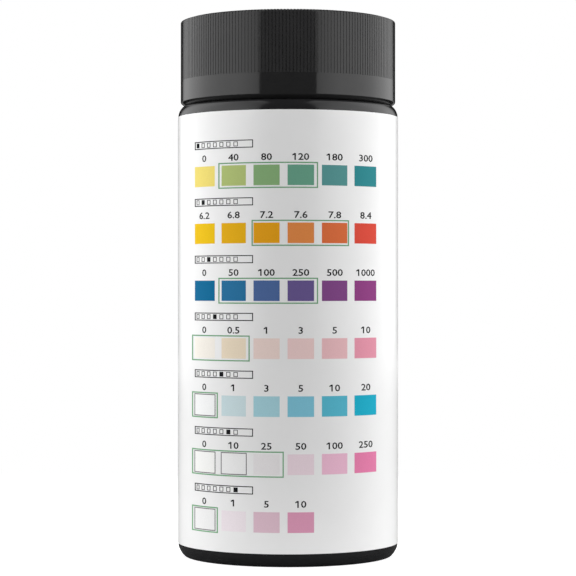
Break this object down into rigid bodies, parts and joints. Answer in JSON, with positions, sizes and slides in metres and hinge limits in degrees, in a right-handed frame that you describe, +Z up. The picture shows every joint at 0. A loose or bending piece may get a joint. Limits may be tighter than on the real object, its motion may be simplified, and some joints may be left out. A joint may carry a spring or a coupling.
{
  "type": "water test kit",
  "caption": "Screw-capped round bottle of dip-and-read water test strips, with a colour chart label and a desiccant stopper.",
  "frame": {"origin": "centre of the bottle's standing ring, on the table", "axes": "+Z up the bottle, -Y out of the front of the label, +X to the right seen from the front"},
  "size_m": [0.05, 0.05, 0.1212],
  "materials": {
    "black_bottle_plastic": "blow-moulded polyethylene, satin",
    "black_cap_plastic": "injection-moulded polypropylene, satin",
    "white_label_film": "printed film with a satin varnish",
    "natural_stopper_plastic": "moulded low-density polyethylene",
    "desiccant_beads": "bonded molecular-sieve beads",
    "paperboard_disc": "porous board",
    "foam_liner": "closed-cell foam",
    "strip_film": "white polyester film",
    "carbonate_pad_paper": "dyed filter paper",
    "ph_pad_paper": "dyed filter paper",
    "hardness_pad_paper": "dyed filter paper",
    "total_chlorine_pad_paper": "dyed filter paper",
    "free_chlorine_pad_paper": "dyed filter paper",
    "nitrate_pad_paper": "dyed filter paper",
    "nitrite_pad_paper": "dyed filter paper"
  },
  "bodies": {
    "bottle": {"bottle": "black_bottle_plastic", "label": "white_label_film", "stored_strips_backing": "strip_film", "stored_strips_carbonate_pad": "carbonate_pad_paper", "stored_strips_ph_pad": "ph_pad_paper", "stored_strips_hardness_pad": "hardness_pad_paper", "stored_strips_total_chlorine_pad": "total_chlorine_pad_paper", "stored_strips_free_chlorine_pad": "free_chlorine_pad_paper", "stored_strips_nitrate_pad": "nitrate_pad_paper", "stored_strips_nitrite_pad": "nitrite_pad_paper"},
    "drawn_strip": {"drawn_strip_backing": "strip_film", "drawn_strip_carbonate_pad": "carbonate_pad_paper", "drawn_strip_ph_pad": "ph_pad_paper", "drawn_strip_hardness_pad": "hardness_pad_paper", "drawn_strip_total_chlorine_pad": "total_chlorine_pad_paper", "drawn_strip_free_chlorine_pad": "free_chlorine_pad_paper", "drawn_strip_nitrate_pad": "nitrate_pad_paper", "drawn_strip_nitrite_pad": "nitrite_pad_paper"},
    "stopper": {"stopper": "natural_stopper_plastic", "desiccant": "desiccant_beads", "porous_disc": "paperboard_disc"},
    "liner": {"cap_liner": "foam_liner"},
    "cap": {"cap_shell": "black_cap_plastic"}
  },
  "joints": [
    {"name": "closure_lift", "type": "slide", "parent": "bottle", "child": "stopper", "axis": [0, 0, 1], "range_m": [0, 0.13]},
    {"name": "strip_draw", "type": "slide", "parent": "bottle", "child": "drawn_strip", "axis": [0, 0, 1], "range_m": [0, 0.117]},
    {"name": "thread_rise", "type": "slide", "parent": "stopper", "child": "liner", "axis": [0, 0, 1], "range_m": [0, 0.00529]},
    {"name": "cap_turn", "type": "hinge", "parent": "liner", "child": "cap", "pos_m": [0, 0, 0.11], "axis": [0, 0, 1], "range_deg": [0, 450]}
  ],
  "couplings": [
    {"joint": "thread_rise", "follows": "cap_turn", "m_per_rad": 0.00067376},
    {"joint": "strip_draw", "follows": "closure_lift", "ratio": 0.9}
  ]
}
